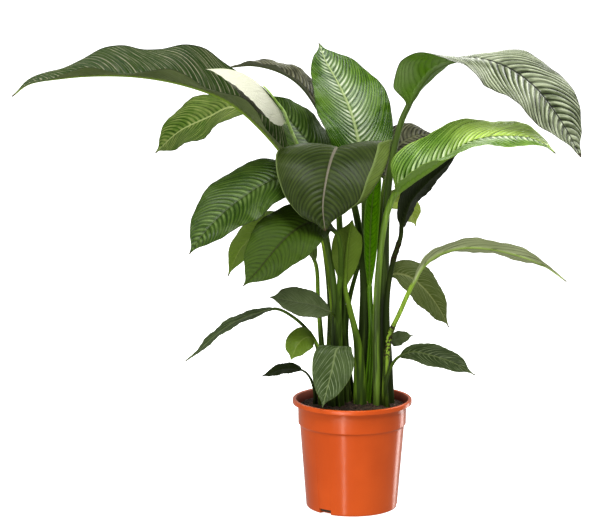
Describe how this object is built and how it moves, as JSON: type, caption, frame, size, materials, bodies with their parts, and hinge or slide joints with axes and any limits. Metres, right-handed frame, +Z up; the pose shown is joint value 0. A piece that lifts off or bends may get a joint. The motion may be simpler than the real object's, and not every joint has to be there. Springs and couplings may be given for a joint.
{
  "type": "potted peace lily",
  "caption": "Peace lily with long arching ribbed leaves on upright stalks and a white flower, growing in soil in a round orange plastic nursery pot.",
  "frame": {"origin": "centre of the flat disc in the middle of the pot's underside, on the surface that the pot stands on", "axes": "+Z up; +X to the right and -Y towards the viewer as seen from the plant's front, where the large arching leaf hangs forward"},
  "size_m": [0.9546, 0.4429, 0.8169],
  "materials": {
    "pot": "glossy orange-red moulded plastic with a darker inner wall",
    "soil": "crumbly dark brown potting soil with bark chips",
    "leaf_dark": "dark green living leaf, satin sheen, ribbed by side veins, paler below",
    "leaf_bright": "bright green living leaf, glossy, ribbed by side veins, paler below",
    "leaf_pale": "pale yellow-green or grey-green living leaf, satin",
    "flower_stalk": "smooth pale green stalk",
    "spathe": "ivory white, soft sheen, fine lengthwise veins",
    "spadix": "cream, knobbly with packed tiny flowers"
  },
  "bodies": {
    "root": {"pot": "pot", "soil": "soil", "leaf_long_left": "leaf_dark", "leaf_mid_left": "leaf_dark", "leaf_back_arching": "leaf_dark", "leaf_back_dark": "leaf_dark", "leaf_tall_centre": "leaf_bright", "leaf_front_arching": "leaf_dark", "leaf_left_upper_droop": "leaf_dark", "leaf_left_lower_droop": "leaf_dark", "leaf_left_pale": "leaf_pale", "leaf_top_right": "leaf_bright", "leaf_right_bright": "leaf_bright", "leaf_right_dark": "leaf_dark", "leaf_right_behind": "leaf_dark", "leaf_right_blotched": "leaf_pale", "leaf_young_rolled": "leaf_bright", "leaf_right_droop": "leaf_dark", "leaf_right_narrow": "leaf_pale", "leaf_low_left": "leaf_dark", "leaf_low_long": "leaf_dark", "leaf_low_pale": "leaf_pale", "leaf_low_thin": "leaf_dark", "leaf_low_front": "leaf_dark", "leaf_low_right": "leaf_dark", "leaf_low_back": "leaf_dark", "leaf_centre_pale": "leaf_pale", "young_shoot": "leaf_bright", "flower_stalk": "flower_stalk", "spathe": "spathe", "spadix": "spadix"}
  },
  "joints": []
}
